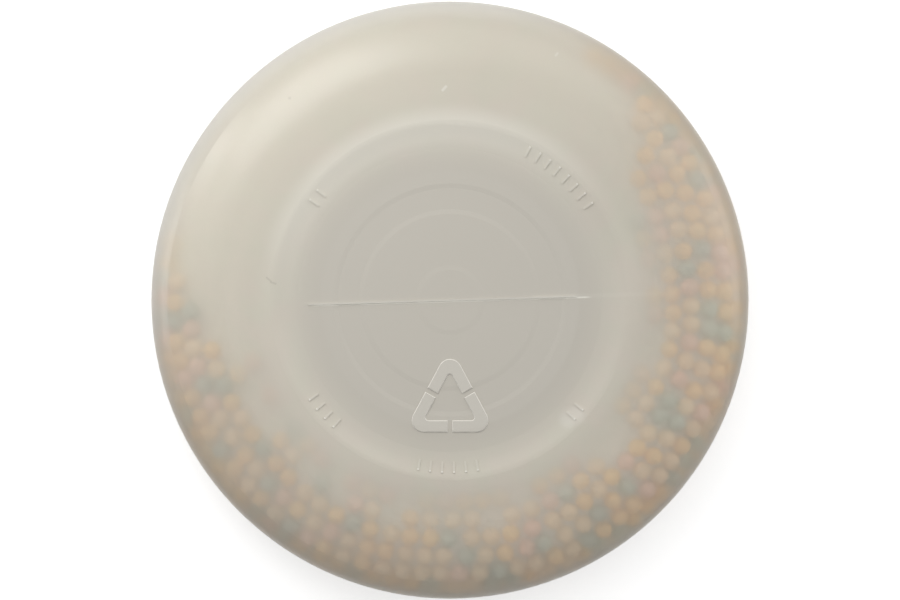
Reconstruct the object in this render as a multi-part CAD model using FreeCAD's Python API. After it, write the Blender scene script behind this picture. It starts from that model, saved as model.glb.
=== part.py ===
"""Translucent flying disc with a double wall and loose beads in it, in millimetres.

The disc lies on its foot ring: +Z is up through the middle of the top face, and the origin is
the centre of the foot's plane. An upper shell carries the top face, the shoulder and the outer
wall. A lower shell runs under it at one bead's depth, turns up round the foot and closes the
space between them: it is welded flat under the recessed middle and at the seam in the outer
wall. The beads run round that space.
"""
import FreeCAD, Part
import itertools
import os
import random
from math import acos, asin, cos, degrees, hypot, pi, radians, sin

V = FreeCAD.Vector
Z_AXIS = V(0, 0, 1)

# Whole disc
disc_d = 203.0
disc_h = 27.0
wall = 1.6                # both shells

# Top face, from the outer wall inwards
rim_r = 14.0              # short curve from the outer wall into the shoulder
shoulder_r = 36.0         # long upper curve of the shoulder
shoulder_w = 25.9         # width of both curves together
ring_w = 15.2             # width of the flat ring
brow_r = 7.4              # rounded edge between the flat ring and the recess
cove_r = 30.0             # hollow curve from the brow down to the recess floor
recess_depth = 1.2

# Shallow steps in the recess floor: diameter, and how far the floor inside it goes up or down
floor_steps = [(78.2, -0.14), (61.0, 0.12), (23.4, 0.08)]
step_run = 1.6            # width of each step's ramp

# Bead space between the shells
bead_d = 6.0
bead_under_gap = 0.3      # bead to lower shell
bead_over_gap = 0.5       # bead to upper shell
bead_side_gap = 0.12      # least space between two beads
bead_reach = 1.1          # the innermost beads' centres lie this far out from the brow

# Lower shell
seam_z = 5.0              # height of the weld seam in the outer wall
foot_r = 4.0              # rounding of the foot's two edges
weld_margin = 0.5         # from the cove's foot in to the flat weld ring under the recess floor
weld_w = 7.0
ramp_run = 5.6            # from the weld ring down to the ring that carries the beads

# Raised marks on the top face
mark_h = 0.35             # height above the floor
mark_bevel = 0.25         # on the triangle's top edges
mark_root = 0.5           # how deep a mark is rooted in the wall
line_w = 0.5
line_margins = (3.5, 8.5)           # from the cove's foot in to the line's left and right ends
line_turn = 1.75                    # degrees off the X axis
tri_centre_y = -29.8
tri_h = 29.1
tri_base = 31.0
tri_corner_r = 4.0
tri_band = 4.0
tri_gap = 1.5
tick_w = 0.7
tick_span = (3.2, 7.0)              # how far up the cove they start and end, from its foot
tick_pitch = 4.0                    # degrees
tick_groups = [(34, 8), (140, 2), (215, 4), (259, 6), (316, 2)]   # first angle, count

# Where the beads lie: rows over an arc of the ring, fewer and ragged at its two ends
pile_start = 164.0        # degrees
pile_sweep = 258.0
pile_taper = 38.0
pile_ragged = 0.08        # share of the rows' width that chance takes off at the ends
row_sway = 1.6            # how far the rows wander up and down the walls
row_waves = 7             # wanderings in one turn
bead_spread = 0.25        # most chance space after a bead, in bead pitches
flat_share = 0.75         # share of the beads kept on the flat ring, where they lie thinner
bead_colours = {"beads_amber": 0.36, "beads_tan": 0.28, "beads_rose": 0.14, "beads_sage": 0.22}
bead_seed = 11

# Worked out from the above
outer_r = disc_d / 2
flat_x = outer_r - shoulder_w
brow_x = flat_x - ring_w
floor_z = disc_h - recess_depth
cove_turn = acos(1 - recess_depth / (cove_r + brow_r))
cove_x = brow_x - (cove_r + brow_r) * sin(cove_turn)
weld_x = cove_x - weld_margin
shoulder_turn = asin((shoulder_w - rim_r) / (shoulder_r - rim_r))
shoulder_z = disc_h - shoulder_r
rim_x = outer_r - rim_r
rim_z = shoulder_z + (shoulder_r - rim_r) * cos(shoulder_turn)
channel = bead_d + bead_under_gap + bead_over_gap
lower_out = wall + channel           # depth of the lower shell's bead side below the top face
lower_in = lower_out + wall          # depth of its finger side
bead_depth = wall + bead_over_gap + bead_d / 2
bead_pitch = bead_d + bead_side_gap
tight_r = rim_r - bead_depth         # the tightest curve that the rows follow sets their pitch
row_pitch = 2 * tight_r * asin(bead_pitch / (2 * tight_r))


def line(a, b):
    return Part.LineSegment(V(a[0], 0, a[1]), V(b[0], 0, b[1])).toShape()


def arc(centre, radius, first, last):
    """An arc in the XZ plane, its angles in radians from +X towards +Z."""
    at = [V(centre[0] + radius * cos(t), 0, centre[1] + radius * sin(t))
          for t in (first, (first + last) / 2, last)]
    return Part.Arc(*at).toShape()


def turned(edges):
    """The solid that a closed outline sweeps round Z."""
    face = Part.Face(Part.Wire(Part.__sortEdges__(edges)))
    return face.revolve(V(0, 0, 0), Z_AXIS, 360)


def shoulder_line(depth, foot_z):
    """Flat ring's end, shoulder, rim and outer wall, at a depth below the top face."""
    return [arc((flat_x, shoulder_z), shoulder_r - depth, pi / 2, pi / 2 - shoulder_turn),
            arc((rim_x, rim_z), rim_r - depth, pi / 2 - shoulder_turn, 0),
            line((outer_r - depth, rim_z), (outer_r - depth, foot_z))]


def recess_line(depth):
    """Cove, brow and flat ring, at a depth below the top face."""
    return [arc((cove_x, floor_z + cove_r), cove_r + depth, -pi / 2, cove_turn - pi / 2),
            arc((brow_x, disc_h - brow_r), brow_r - depth, pi / 2 + cove_turn, pi / 2),
            line((brow_x, disc_h - depth), (flat_x, disc_h - depth))]


def floor_line():
    """The recess floor from the cove in to the axis, with its shallow steps."""
    points, level = [(cove_x, floor_z)], floor_z
    for across, rise in floor_steps:
        points += [(across / 2, level), (across / 2 - step_run, level + rise)]
        level += rise
    points.append((0, level))
    return [line(a, b) for a, b in zip(points, points[1:])]


def upper_body():
    under_z = floor_z - wall
    top_z = floor_z + sum(rise for _, rise in floor_steps)
    outline = floor_line() + recess_line(0) + shoulder_line(0, seam_z)
    outline += recess_line(wall) + shoulder_line(wall, seam_z)
    outline += [line((outer_r - wall, seam_z), (outer_r, seam_z)),
                line((0, under_z), (cove_x, under_z)),
                line((0, under_z), (0, top_z))]
    return turned(outline)


def upright(points, low, high):
    """A prism over a closed outline of straight runs."""
    ring = Part.makePolygon([V(x, y, low) for x, y in points + points[:1]])
    return Part.Face(ring).extrude(V(0, 0, high - low))


def rounded_triangle(inset, low, high):
    """The triangle mark's outline, moved in by inset, as a prism with rounded corners."""
    half, side = tri_base / 2, hypot(tri_base / 2, tri_h)
    x = half - inset * (side + half) / tri_h
    base_y = tri_centre_y - tri_h / 2 + inset
    apex_y = tri_centre_y + tri_h / 2 - inset * side / half
    solid = upright([(-x, base_y), (x, base_y), (0, apex_y)], low, high)
    corners = [e for e in solid.Edges if abs(e.Vertexes[0].Z - e.Vertexes[1].Z) > (high - low) / 2]
    return solid.makeFillet(max(tri_corner_r - inset, tri_band / 4), corners)


def triangle_mark(low, high):
    """Three bent bars round a triangle, parted at the middle of each side."""
    band = rounded_triangle(0, low, high).cut(rounded_triangle(tri_band, low, high))
    middle_y = tri_centre_y - tri_h / 6
    gaps = []
    for turn in (30, 150, 270):
        gap = Part.makeBox(tri_h, tri_gap, high - low, V(0, -tri_gap / 2, low))
        gap.rotate(V(0, 0, 0), Z_AXIS, turn)
        gaps.append(gap.translate(V(0, middle_y, 0)))
    bars = band.cut(Part.makeCompound(gaps))
    top_edges = [e for e in bars.Edges if min(v.Z for v in e.Vertexes) > (low + high) / 2]
    return bars.makeChamfer(mark_bevel, top_edges)


def parting_line(low, high):
    first, last = line_margins[0] - cove_x, cove_x - line_margins[1]
    bar = Part.makeBox(last - first, line_w, high - low, V(first, -line_w / 2, low))
    return bar.rotate(V(0, 0, 0), Z_AXIS, line_turn)


def tick(angle):
    """A short raised bar that follows the cove."""
    first, last = [asin(way / cove_r) - pi / 2 for way in tick_span]
    x, z = cove_x, floor_z + cove_r
    radii = cove_r + mark_root, cove_r - mark_h
    ends = [line(*[(x + radius * cos(t), z + radius * sin(t)) for radius in radii]) for t in (first, last)]
    edges = [*ends, *[arc((x, z), radius, first, last) for radius in radii]]
    face = Part.Face(Part.Wire(Part.__sortEdges__(edges)))
    turn = degrees(tick_w / (cove_x + tick_span[1]))
    return face.revolve(V(0, 0, 0), Z_AXIS, turn).rotate(V(0, 0, 0), Z_AXIS, angle)


def ticks():
    return [tick(first + i * tick_pitch) for first, count in tick_groups for i in range(count)]


def upper_shell():
    low = floor_z + min(0, *[rise for _, rise in floor_steps]) - mark_root
    high = floor_z + mark_h
    marks = [triangle_mark(low, high), parting_line(low, high), *ticks()]
    return upper_body().fuse(marks).removeSplitter()


def foot_line(inset):
    """The foot's trough from the finger side round to the seam, at a depth inside its surface."""
    inner, outer = outer_r - lower_in + foot_r, outer_r - foot_r
    return [arc((inner, foot_r), foot_r - inset, -pi, -pi / 2), line((inner, inset), (outer, inset)),
            arc((outer, foot_r), foot_r - inset, -pi / 2, 0),
            line((outer_r - inset, foot_r), (outer_r - inset, seam_z))]


def lower_side(inset):
    """One face of the lower shell, from the weld ring to the foot: the bead side is inset 0."""
    carry_x, carry_z = weld_x + ramp_run, disc_h - lower_out - inset
    top_z = floor_z - wall - inset
    return [line((weld_x - weld_w, top_z), (weld_x, top_z)), line((weld_x, top_z), (carry_x, carry_z)),
            line((carry_x, carry_z), (flat_x, carry_z)), *shoulder_line(lower_out + inset, foot_r)]


def lower_shell():
    weld_in, top_z = weld_x - weld_w, floor_z - wall
    ends = [line((weld_in, top_z), (weld_in, top_z - wall)),
            line((outer_r - wall, seam_z), (outer_r, seam_z))]
    return turned([*lower_side(0), *foot_line(wall), *lower_side(wall), *foot_line(0), *ends])


def bead_runs():
    """Lengths of the bead centres' path in section: flat ring, shoulder, rim and outer wall."""
    return [flat_x - brow_x - bead_reach, (shoulder_r - bead_depth) * shoulder_turn,
            (rim_r - bead_depth) * (pi / 2 - shoulder_turn), rim_z - wall - bead_under_gap - bead_d / 2]


def bead_at(way, angle):
    """Where a bead's centre lies, way along that path from its inner end, at an angle round Z."""
    flat_run, shoulder_run, rim_run, _ = bead_runs()
    if way < flat_run:
        r, z = brow_x + bead_reach + way, disc_h - bead_depth
    elif way < flat_run + shoulder_run:
        radius = shoulder_r - bead_depth
        turn = (way - flat_run) / radius
        r, z = flat_x + radius * sin(turn), shoulder_z + radius * cos(turn)
    elif way < flat_run + shoulder_run + rim_run:
        radius = rim_r - bead_depth
        turn = shoulder_turn + (way - flat_run - shoulder_run) / radius
        r, z = rim_x + radius * sin(turn), rim_z + radius * cos(turn)
    else:
        r, z = outer_r - bead_depth, rim_z - (way - flat_run - shoulder_run - rim_run)
    return V(r * cos(angle), r * sin(angle), z)


def pile_depth(angle):
    """The share of the path that the pile covers at an angle, from the foot up."""
    past = (degrees(angle) - pile_start) % 360
    return max(0, min(1, past / pile_taper, (pile_sweep - past) / pile_taper))


def bead_row(row):
    """One row of the pile, counted from the foot up: each bead's colour and centre."""
    names, shares = list(bead_colours), list(bead_colours.values())
    path, flat_run = sum(bead_runs()), bead_runs()[0]
    angle, laid = radians(pile_start), []
    for place in itertools.count():
        chance = random.Random(f"{bead_seed} {row} {place}")
        way = path - row * row_pitch - row_sway * (1 + sin(row_waves * angle)) / 2
        point = bead_at(way, angle)
        covered = way > path * (1 - pile_depth(angle) + pile_ragged * chance.random())
        if covered and (way > flat_run or chance.random() < flat_share):
            laid.append((chance.choices(names, shares)[0], point))
        step = 2 * asin(bead_pitch / (2 * hypot(point.x, point.y)))
        angle += step * (1 + bead_spread * chance.random() ** 2)
        if angle > radians(pile_start + pile_sweep):
            return laid


def beads():
    """The pile's rows of beads, in a group for each colour."""
    groups = {name: [] for name in bead_colours}
    for row in range(int((sum(bead_runs()) - row_sway) / row_pitch) + 1):
        for name, point in bead_row(row):
            groups[name].append(Part.makeSphere(bead_d / 2, point))
    return {name: Part.makeCompound(balls) for name, balls in groups.items()}


os.makedirs("parts", exist_ok=True)
nodes = {"upper_shell": upper_shell(), "lower_shell": lower_shell(), **beads()}
for name, shape in nodes.items():
    shape.exportStep(f"parts/{name}.step")
    state = "valid" if shape.isValid() else "BROKEN"
    print(name, len(shape.Solids), "solids", round(shape.Volume), "mm3", state)
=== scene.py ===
"""Flying disc of milky translucent plastic with loose beads between its two shells, in metres."""
from math import radians, tan

import bpy
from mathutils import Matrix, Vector


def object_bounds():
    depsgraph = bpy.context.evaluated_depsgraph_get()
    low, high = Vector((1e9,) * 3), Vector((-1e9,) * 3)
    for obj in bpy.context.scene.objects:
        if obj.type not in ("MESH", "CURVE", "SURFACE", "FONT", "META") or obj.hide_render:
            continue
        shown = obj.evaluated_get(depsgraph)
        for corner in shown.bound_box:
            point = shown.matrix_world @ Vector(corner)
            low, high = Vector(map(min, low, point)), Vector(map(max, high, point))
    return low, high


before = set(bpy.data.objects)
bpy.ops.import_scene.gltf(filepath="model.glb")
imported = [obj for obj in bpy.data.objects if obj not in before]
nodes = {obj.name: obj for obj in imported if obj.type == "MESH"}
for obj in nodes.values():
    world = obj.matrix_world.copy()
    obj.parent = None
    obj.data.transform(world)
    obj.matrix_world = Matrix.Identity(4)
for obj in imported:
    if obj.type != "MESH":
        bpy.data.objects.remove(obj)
cad_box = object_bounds()
low, high = cad_box
disc_r = (high.x - low.x) / 2
disc_h = high.z - low.z
scene = bpy.context.scene


def colour(red, green, blue):
    return (red, green, blue, 1.0)


# The recess: where its hollow curve starts, that curve's radius, and the height of the floor inside it
cove_x = 0.0510
cove_r = 0.0300
floor_z = high.z - 0.0012

# Raised marks: the radii where they end, the heights where their sloped sides and their tops lie, and how
# much painted highlight each of the two gets
marks_end = (0.0570, 0.0585)
bevel_from, bevel_to, bevel_share = (0.00010, 0.00014), (0.00028, 0.00034), 0.5
top_from, top_share = (0.00010, 0.00020), 0.2

# The parting line: its turn in degrees off the X axis, the fade of its width, the fade and offset of the
# band of painted light along its lower side that lifts its shadow, where that band ends, and the stretches
# where its painted highlight shows brightest
line_turn = 1.75
line_fade = (0.0003, 0.0011)
side_fade, side_off, side_share = (0.0001, 0.0004), 0.00045, 0.75
side_end = (0.045, 0.048)
line_bright = [(-0.049, -0.017, 0.06), (0.027, 0.041, 0.14), (0.041, 0.070, 0.08)]
stretch_fade = 0.004

# Zones of the face from the middle out: the shares of the disc's radius over which each one fades, and
# how strong it is
outer_from = (0.40, 0.62)
bend_from, bend_to = (0.48, 0.58), (0.59, 0.66)
shoulder_from, shoulder_to, shoulder_share = (0.64, 0.74), (0.88, 0.96), 0.42
edge_from, edge_share = (0.92, 0.98), 0.9
clear_from = (0.52, 0.80)
bleed_from, bleed_share = (0.60, 0.80), 0.22
lamp_from, lamp_shares = (0.55, 0.70), (0.2, 0.95)

# Directions on the face, as x and y
upper_left, upper_right = (-0.6, 0.8), (0.6, 0.8)
upward, rightward = (-0.30, 0.95), (0.93, -0.37)

# What changes with direction: how squarely a place lies there, from and to, and the values at both
# Where the bend's painted highlight is strongest: toward the upper side
bend_lit = (0.15, 0.95, 0.0, 0.85)
# Where the edge's painted light and shade fall: paler toward the upper left, darker away from it
edge_lit_side = (0.1, 0.8, 0.0, 1.0)
clear_right = (-0.6, 0.9, 0.78, 1.14)
clear_upper_right = (0.3, 0.95, 1.0, 0.72)
blur_right = (-0.6, 0.9, 0.46, 0.38)

# Scales of the noise in the milk and in the beads
cloud_scale, blotch_scale, grain_scale, bead_scale = 28.0, 75.0, 900.0, 60.0

# The milk's tones; the clouded ones run between two
# Darker tone in the recess: painted shade of the hollow
recess_shade_milk = colour(0.522, 0.492, 0.431)
pink_milk = (colour(0.602, 0.555, 0.477), colour(0.622, 0.574, 0.494))
green_milk = (colour(0.590, 0.563, 0.475), colour(0.610, 0.582, 0.492))
# Paler ring on the recess's bend, stronger on its upper side: a painted highlight
bend_highlight_milk = colour(0.70, 0.67, 0.59)
shoulder_milk = colour(0.73, 0.69, 0.595)
# Edge tones: painted shade, darker and warmer, away from the upper left, and painted light, paler, toward it
shaded_edge_milk, lit_edge_milk = colour(0.585, 0.508, 0.388), colour(0.76, 0.73, 0.66)
# Paler tops and sloped sides of the raised marks: painted highlight
mark_top_highlight_milk, bevel_highlight_milk = colour(0.78, 0.76, 0.70), colour(0.90, 0.88, 0.82)
# Pale tone of the parting line: painted highlight, and painted light over its shadow
line_highlight_milk = colour(0.80, 0.78, 0.70)
# Paler tone over the lower shell: painted light that lifts the shade in the hollow between the shells
underside_lift_milk = colour(0.90, 0.87, 0.78)
clear_tint, bleed_tint = colour(0.985, 0.98, 0.965), colour(0.96, 0.94, 0.88)
white = colour(1, 1, 1)

plastic_ior = 1.5
gloss_rough = 0.28
bead_rough = 0.5

# Small scratches, specks and a rubbed patch: x, y, turn in degrees, length, width, strength and colour
pale, dull = colour(0.93, 0.92, 0.88), colour(0.22, 0.20, 0.16)
scuffs = [(-0.0019, 0.0709, 48, 0.0016, 0.0007, 0.5, pale),
          (0.0358, 0.0825, 52, 0.0010, 0.0006, 0.45, pale),
          (-0.0607, 0.0069, -40, 0.0018, 0.0005, 0.22, dull),
          (-0.0592, 0.0057, -18, 0.0016, 0.0005, 0.22, dull),
          (-0.0538, 0.0677, 0, 0.0001, 0.0007, 0.35, dull),
          (0.0409, -0.0392, 30, 0.0030, 0.0045, 0.15, pale)]


# ---------------------------------------------------------------- node helpers

def new_material(name):
    mat = bpy.data.materials.new(name)
    mat.use_nodes = True
    mat.node_tree.nodes.clear()
    return mat, Tree(mat.node_tree)


class Tree:
    """Short words for making and joining shader nodes."""

    def __init__(self, tree):
        self.tree = tree

    def node(self, kind, inputs=None, **settings):
        made = self.tree.nodes.new(kind)
        for key, value in settings.items():
            setattr(made, key, value)
        for key, value in (inputs or {}).items():
            socket = made.inputs[key]
            if isinstance(value, bpy.types.NodeSocket):
                self.tree.links.new(value, socket)
            else:
                socket.default_value = value
        return made

    def math(self, what, a, b=0.0, clamp=False):
        return self.node("ShaderNodeMath", {0: a, 1: b}, operation=what, use_clamp=clamp).outputs[0]

    def ramp(self, value, start, end, low_value=0.0, high_value=1.0):
        """A smooth step of value from start to end."""
        made = self.node("ShaderNodeMapRange", {"Value": value, "From Min": start, "From Max": end,
                                                "To Min": low_value, "To Max": high_value},
                         interpolation_type="SMOOTHSTEP")
        return made.outputs["Result"]

    def zone(self, radius, span, low_value=0.0, high_value=1.0):
        """A smooth step over a span of radii, given as shares of the disc's."""
        start, end = span
        return self.ramp(radius, start * disc_r, end * disc_r, low_value, high_value)

    def mix(self, factor, a, b):
        made = self.node("ShaderNodeMix", {0: factor, 6: a, 7: b}, data_type="RGBA")
        return made.outputs[2]

    def join(self, factor, a, b):
        """One shader out of two: a where the factor is 0, b where it is 1."""
        return self.node("ShaderNodeMixShader", {0: factor, 1: a, 2: b}).outputs[0]

    def shader(self, kind, **inputs):
        """A shader node whose inputs are given by name, with _ for a space."""
        named = {key.replace("_", " "): value for key, value in inputs.items()}
        return self.node(kind, named).outputs[0]

    def parts(self, place):
        return self.node("ShaderNodeSeparateXYZ", {0: place}).outputs

    def radius(self, place):
        """The distance of a place from the disc's axis."""
        x, y, _ = self.parts(place)
        flat = self.node("ShaderNodeCombineXYZ", {0: x, 1: y})
        return self.node("ShaderNodeVectorMath", {0: flat.outputs[0]}, operation="LENGTH").outputs["Value"]

    def towards(self, place, radius, direction):
        """How squarely a place lies in a direction from the axis: 1 along it, -1 opposite."""
        x, y, _ = self.parts(place)
        along_x = self.math("MULTIPLY", x, direction[0])
        along_y = self.math("MULTIPLY", y, direction[1])
        return self.math("DIVIDE", self.math("ADD", along_x, along_y), radius)

    def noise(self, vector, scale, detail=2.0):
        return self.node("ShaderNodeTexNoise", {"Vector": vector, "Scale": scale,
                                                "Detail": detail}).outputs["Fac"]

    def cloud(self, place, scale, detail):
        """Noise with its middle stretched to run from 0 to 1."""
        return self.ramp(self.noise(place, scale, detail), 0.35, 0.65)

    def finish(self, surface):
        self.node("ShaderNodeOutputMaterial", {"Surface": surface})


# ---------------------------------------------------------------- materials

def proud(t, place, radius):
    """How far a point stands above the recess's curve, as far out as the raised marks reach."""
    up_cove = t.math("MAXIMUM", t.math("SUBTRACT", radius, cove_x), 0.0)
    curve = t.math("DIVIDE", t.math("MULTIPLY", up_cove, up_cove), 2 * cove_r)
    height = t.parts(place)[2]
    above = t.math("SUBTRACT", t.math("SUBTRACT", height, floor_z), curve)
    return t.math("MULTIPLY", above, t.ramp(radius, *marks_end, 1.0, 0.0))


def line_painted_light(t, place):
    """A mask of painted light on the parting line: a painted highlight on some stretches, and a pale band
    along its lower side that lifts its shadow.
    """
    x, y, _ = t.parts(place)
    off = t.math("SUBTRACT", y, t.math("MULTIPLY", x, tan(radians(line_turn))))
    on_line = t.ramp(t.math("ABSOLUTE", off), *line_fade, 1.0, 0.0)
    shadow_lift = t.ramp(t.math("ABSOLUTE", t.math("ADD", off, side_off)), *side_fade, side_share, 0.0)
    shadow_lift = t.math("MULTIPLY", shadow_lift, t.ramp(t.math("ABSOLUTE", x), *side_end, 1.0, 0.0))
    strong = 0.0
    for start, end, share in line_bright:
        stretch = t.math("MULTIPLY", t.ramp(x, start - stretch_fade, start + stretch_fade, 0.0, share),
                         t.ramp(x, end - stretch_fade, end + stretch_fade, 1.0, 0.0))
        strong = t.math("ADD", stretch, strong, clamp=True)
    return t.math("ADD", t.math("MULTIPLY", on_line, strong), shadow_lift)


def scuff(t, place, x, y, turn, length, width):
    """A mask on one short scratch: 1 within its width, fading out."""
    spot = t.node("ShaderNodeVectorRotate", {"Vector": place, "Center": (x, y, 0), "Angle": -radians(turn)},
                  rotation_type="Z_AXIS").outputs[0]
    spot_x, spot_y, _ = t.parts(spot)
    along = t.math("MAXIMUM", t.math("SUBTRACT", t.math("ABSOLUTE", t.math("SUBTRACT", spot_x, x)),
                                     length / 2), 0.0)
    across = t.math("SUBTRACT", spot_y, y)
    far = t.math("SQRT", t.math("ADD", t.math("MULTIPLY", along, along), t.math("MULTIPLY", across, across)))
    return t.ramp(far, width / 4, width, 1.0, 0.0)


def wall_tone(t, place, radius):
    """The milk's colour on the smooth face: clouded, with painted shade in the recess, paler on the bends
    with a painted highlight on the recess's bend, and painted light and shade at the edge, paler toward the
    upper left and darker and warmer away from it.
    """
    blotch = t.cloud(place, blotch_scale, detail=2.0)
    cloud = t.cloud(place, cloud_scale, detail=3.0)
    outer = t.mix(blotch, t.mix(cloud, *green_milk), t.mix(cloud, *pink_milk))
    # Painted shade: the recess is darker, fading out into the clouded outer milk
    tone = t.mix(t.zone(radius, outer_from), recess_shade_milk, outer)
    # Painted highlight: a paler ring on the bend, stronger toward the upper side
    bend = t.math("MULTIPLY", t.zone(radius, bend_from), t.zone(radius, bend_to, 1.0, 0.0))
    lit = t.ramp(t.towards(place, radius, upward), *bend_lit)
    tone = t.mix(t.math("MULTIPLY", bend, lit), tone, bend_highlight_milk)
    shoulder = t.math("MULTIPLY", t.zone(radius, shoulder_from),
                      t.zone(radius, shoulder_to, shoulder_share, 0.0))
    tone = t.mix(shoulder, tone, shoulder_milk)
    # Painted light and shade at the edge: paler toward the upper left, darker and warmer away from it
    away = t.ramp(t.towards(place, radius, upper_left), *edge_lit_side)
    return t.mix(t.zone(radius, edge_from, 0.0, edge_share), tone, t.mix(away, shaded_edge_milk, lit_edge_milk))


def shell_tone(t, place, radius, shade_lift):
    """The wall's tone with painted highlights on the marks and the parting line, painted light over the
    line's shadow and across the lower shell, and the scratches on it.
    """
    above = proud(t, place, radius)
    # Painted highlight on the raised marks' tops and sloped sides
    tone = t.mix(t.ramp(above, *top_from, 0.0, top_share), wall_tone(t, place, radius), mark_top_highlight_milk)
    bevel = t.math("MULTIPLY", t.ramp(above, *bevel_from), t.ramp(above, *bevel_to, bevel_share, 0.0))
    tone = t.mix(bevel, tone, bevel_highlight_milk)
    # Painted highlight on stretches of the parting line, and painted light lifting its shadow along its
    # lower side
    tone = t.mix(line_painted_light(t, place), tone, line_highlight_milk)
    # Painted light: the lower shell is made paler to lift the shade inside the hollow
    tone = t.mix(shade_lift, tone, underside_lift_milk)
    for x, y, turn, length, width, strength, mark in scuffs:
        tone = t.mix(t.math("MULTIPLY", scuff(t, place, x, y, turn, length, width), strength), tone, mark)
    return tone


def see_through(t, place, radius, clear_middle, clear_rim):
    """How clear the milk is, more so at the rim and the right, and how rough the view through it is."""
    right = t.towards(place, radius, rightward)
    by_side = t.math("MULTIPLY", t.ramp(right, *clear_right),
                     t.ramp(t.towards(place, radius, upper_right), *clear_upper_right))
    clear = t.math("MULTIPLY", by_side, t.zone(radius, clear_from, clear_middle, clear_rim))
    return clear, t.ramp(right, *blur_right)


def shell_material(name, clear_middle, clear_rim, shade_lift):
    """Milky polyethylene: part of the light goes through it, softly blurred, more so in the thin rim."""
    mat, t = new_material(name)
    place = t.node("ShaderNodeTexCoord").outputs["Object"]
    radius = t.radius(place)
    clear, blur = see_through(t, place, radius, clear_middle, clear_rim)
    grain = t.noise(place, grain_scale)
    bump = t.node("ShaderNodeBump", {"Strength": 0.05, "Distance": 0.0002, "Height": grain}).outputs[0]
    skin = t.shader("ShaderNodeBsdfPrincipled", Base_Color=shell_tone(t, place, radius, shade_lift),
                    Roughness=gloss_rough, Normal=bump)
    bleed = t.shader("ShaderNodeBsdfTranslucent", Color=bleed_tint, Normal=bump)
    milk = t.join(t.zone(radius, bleed_from, 0.0, bleed_share), skin, bleed)
    through = t.shader("ShaderNodeBsdfRefraction", Color=clear_tint, Roughness=blur, IOR=plastic_ior,
                       Normal=bump)
    gloss = t.shader("ShaderNodeBsdfGlossy", Color=white, Roughness=gloss_rough, Normal=bump)
    glance = t.node("ShaderNodeFresnel", {"IOR": plastic_ior, "Normal": bump}).outputs[0]
    face = t.join(clear, milk, t.join(glance, through, gloss))
    # The milk and the gloss count once for each wall, where light enters it; lamps shine through
    back = t.node("ShaderNodeNewGeometry").outputs["Backfacing"]
    lamp_way = t.shader("ShaderNodeBsdfTransparent", Color=clear_tint)
    shadow_ray = t.node("ShaderNodeLightPath").outputs["Is Shadow Ray"]
    lamp_share = t.zone(radius, lamp_from, *lamp_shares)
    passing = t.math("MULTIPLY", shadow_ray, t.math("MAXIMUM", back, lamp_share))
    t.finish(t.join(passing, t.join(back, face, through), lamp_way))
    return mat


def bead_material(name, light, dark):
    mat, t = new_material(name)
    place = t.node("ShaderNodeTexCoord").outputs["Object"]
    tone = t.mix(t.cloud(place, bead_scale, detail=1.0), light, dark)
    skin = t.shader("ShaderNodeBsdfPrincipled", Base_Color=tone, Roughness=bead_rough)
    glow = t.shader("ShaderNodeBsdfTranslucent", Color=tone)
    t.finish(t.join(0.5, skin, glow))
    return mat


def dress(node, mat):
    mesh = nodes[node].data
    mesh.materials.clear()
    mesh.materials.append(mat)


dress("upper_shell", shell_material("milky_shell", clear_middle=0.03, clear_rim=0.37, shade_lift=0.0))
# The lower shell gets painted light, a paler tone that lifts the shade in the hollow
dress("lower_shell", shell_material("milky_underside", clear_middle=0.03, clear_rim=0.16, shade_lift=0.45))
dress("beads_amber", bead_material("amber_bead", colour(0.98, 0.76, 0.40), colour(0.94, 0.68, 0.34)))
dress("beads_tan", bead_material("tan_bead", colour(0.94, 0.78, 0.56), colour(0.90, 0.72, 0.50)))
dress("beads_rose", bead_material("rose_bead", colour(0.94, 0.70, 0.59), colour(0.89, 0.63, 0.52)))
dress("beads_sage", bead_material("sage_bead", colour(0.62, 0.68, 0.61), colour(0.53, 0.59, 0.54)))


# ---------------------------------------------------------------- stage

def floor_material(paint=0.68, seen_glow=0.55):
    """Pale grey that the camera and the gloss see as white, with the object's shadow kept."""
    mat, t = new_material("floor_white")
    path = t.node("ShaderNodeLightPath")
    seen = t.math("MAXIMUM", path.outputs["Is Camera Ray"], path.outputs["Is Glossy Ray"])
    lit = t.shader("ShaderNodeBsdfDiffuse", Color=colour(paint, paint, paint))
    glow = t.shader("ShaderNodeEmission", Color=white, Strength=t.math("MULTIPLY", seen, seen_glow))
    t.finish(t.node("ShaderNodeAddShader", {0: lit, 1: glow}).outputs[0])
    return mat


def make_floor(size=6.0):
    mesh = bpy.data.meshes.new("floor")
    half = size / 2
    corners = [(-half, -half, 0), (half, -half, 0), (half, half, 0), (-half, half, 0)]
    mesh.from_pydata(corners, [], [(0, 1, 2, 3)])
    mesh.materials.append(floor_material())
    floor = bpy.data.objects.new("floor", mesh)
    scene.collection.objects.link(floor)


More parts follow.
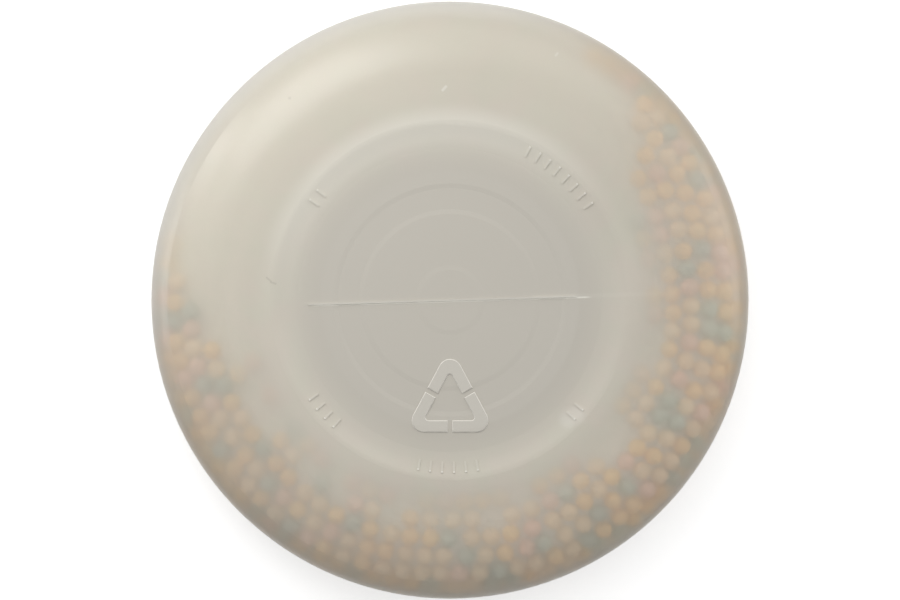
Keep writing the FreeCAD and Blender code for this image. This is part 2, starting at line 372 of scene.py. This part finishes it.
def make_world(even=0.15, from_back=1.14, from_above=0.46):
    """Soft light from all round and most from +Y. The camera and the gloss see plain white."""
    world = bpy.data.worlds.new("studio")
    world.use_nodes = True
    world.node_tree.nodes.clear()
    t = Tree(world.node_tree)
    _, back, above = t.parts(t.node("ShaderNodeTexCoord").outputs["Generated"])
    light = even
    for axis, share in ((back, from_back), (above, from_above)):
        light = t.math("ADD", t.math("MAXIMUM", t.math("MULTIPLY", axis, share), 0.0), light)
    path = t.node("ShaderNodeLightPath")
    seen = t.math("MAXIMUM", path.outputs["Is Camera Ray"], path.outputs["Is Glossy Ray"])
    strength = t.node("ShaderNodeMix", {0: seen, 2: light, 3: 1.0}, data_type="FLOAT").outputs[0]
    shade = t.shader("ShaderNodeBackground", Color=white, Strength=strength)
    t.node("ShaderNodeOutputWorld", {"Surface": shade})
    scene.world = world


def area_light(name, place, size, power, only_gloss=False):
    data = bpy.data.lights.new(name, "AREA")
    data.shape = "DISK"
    data.size = size
    data.energy = power
    lamp = bpy.data.objects.new(name, data)
    lamp.location = place
    lamp.visible_camera = False
    lamp.visible_diffuse = not only_gloss
    lamp.rotation_euler = Vector(place).to_track_quat("Z", "Y").to_euler()
    scene.collection.objects.link(lamp)


def make_camera(distance=1.2, face_share=0.66333, sensor=36.0):
    """Straight above the disc, with the lens that lets the face fill its share of the frame's width."""
    data = bpy.data.cameras.new("camera")
    data.sensor_width = sensor
    widest_z = low.z + disc_h / 3
    data.lens = face_share * sensor * (distance - widest_z) / (2 * disc_r)
    camera = bpy.data.objects.new("camera", data)
    camera.location = (0, 0, distance)
    scene.collection.objects.link(camera)
    scene.camera = camera


make_floor()
make_world()
make_camera()
area_light("key", (-0.13, 0.19, 0.24), size=0.20, power=0.30)
area_light("side", (0.42, 0.10, 0.06), size=0.30, power=0.42)
area_light("low_left", (-0.55, 0.05, 0.05), size=0.30, power=0.46)
area_light("sheen", (-0.42, 0.27, 0.24), size=0.16, power=0.28, only_gloss=True)

scene.view_settings.view_transform = "Standard"
